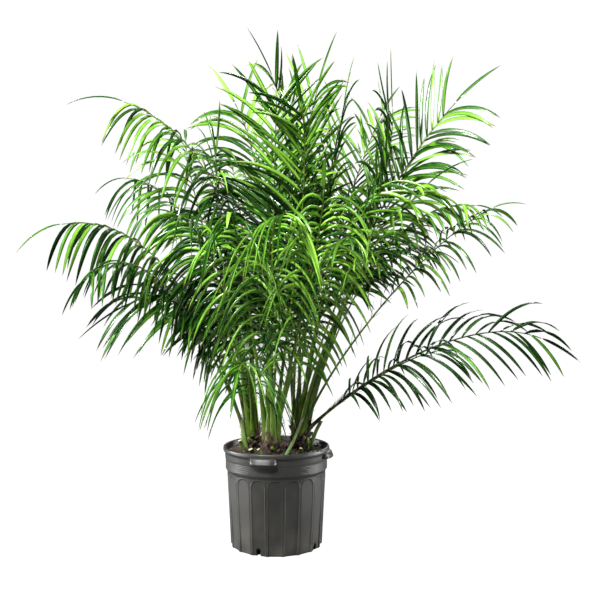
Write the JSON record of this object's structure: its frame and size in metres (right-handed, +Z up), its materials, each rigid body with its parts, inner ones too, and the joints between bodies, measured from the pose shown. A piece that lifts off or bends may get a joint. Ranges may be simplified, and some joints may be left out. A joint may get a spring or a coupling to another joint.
{
  "type": "potted palm",
  "caption": "Clump of three young pygmy date palms with nearly forty arching feather fronds in a ribbed dark plastic nursery pot with three lifting lugs.",
  "frame": {"origin": "centre of the underside of the pot, on the floor", "axes": "+Z up, -Y towards the viewer (the side with the front lifting lug), +X to the viewer's right"},
  "size_m": [1.3587, 1.0541, 1.3188],
  "materials": {
    "pot": "semi-matte blow-moulded plastic",
    "soil": "moist bark potting mix",
    "trunk": "fibrous old leaf bases",
    "frond": "glossy folded leaflets on smooth green stalks"
  },
  "bodies": {
    "root": {"frond_back_centre": "frond", "frond_back_left": "frond", "frond_back_right_low": "frond", "frond_front_centre": "frond", "frond_front_centre_right": "frond", "frond_front_high": "frond", "frond_front_left": "frond", "frond_front_low": "frond", "frond_front_top": "frond", "frond_left_arch": "frond", "frond_left_back": "frond", "frond_left_back_low": "frond", "frond_left_dark": "frond", "frond_left_front": "frond", "frond_left_high": "frond", "frond_left_inner": "frond", "frond_left_long": "frond", "frond_right_arch": "frond", "frond_right_back": "frond", "frond_right_back_high": "frond", "frond_right_bright": "frond", "frond_right_front": "frond", "frond_right_front_low": "frond", "frond_right_high": "frond", "frond_right_inner": "frond", "frond_right_long": "frond", "frond_right_low_long": "frond", "frond_right_low_second": "frond", "frond_right_second": "frond", "frond_top_arch": "frond", "frond_top_back": "frond", "frond_top_back_left": "frond", "frond_top_bright": "frond", "frond_top_left": "frond", "frond_top_right": "frond", "frond_top_right_front": "frond", "frond_top_tall": "frond", "pot": "pot", "soil": "soil", "trunk_left": "trunk", "trunk_middle": "trunk", "trunk_right": "trunk"}
  },
  "joints": []
}
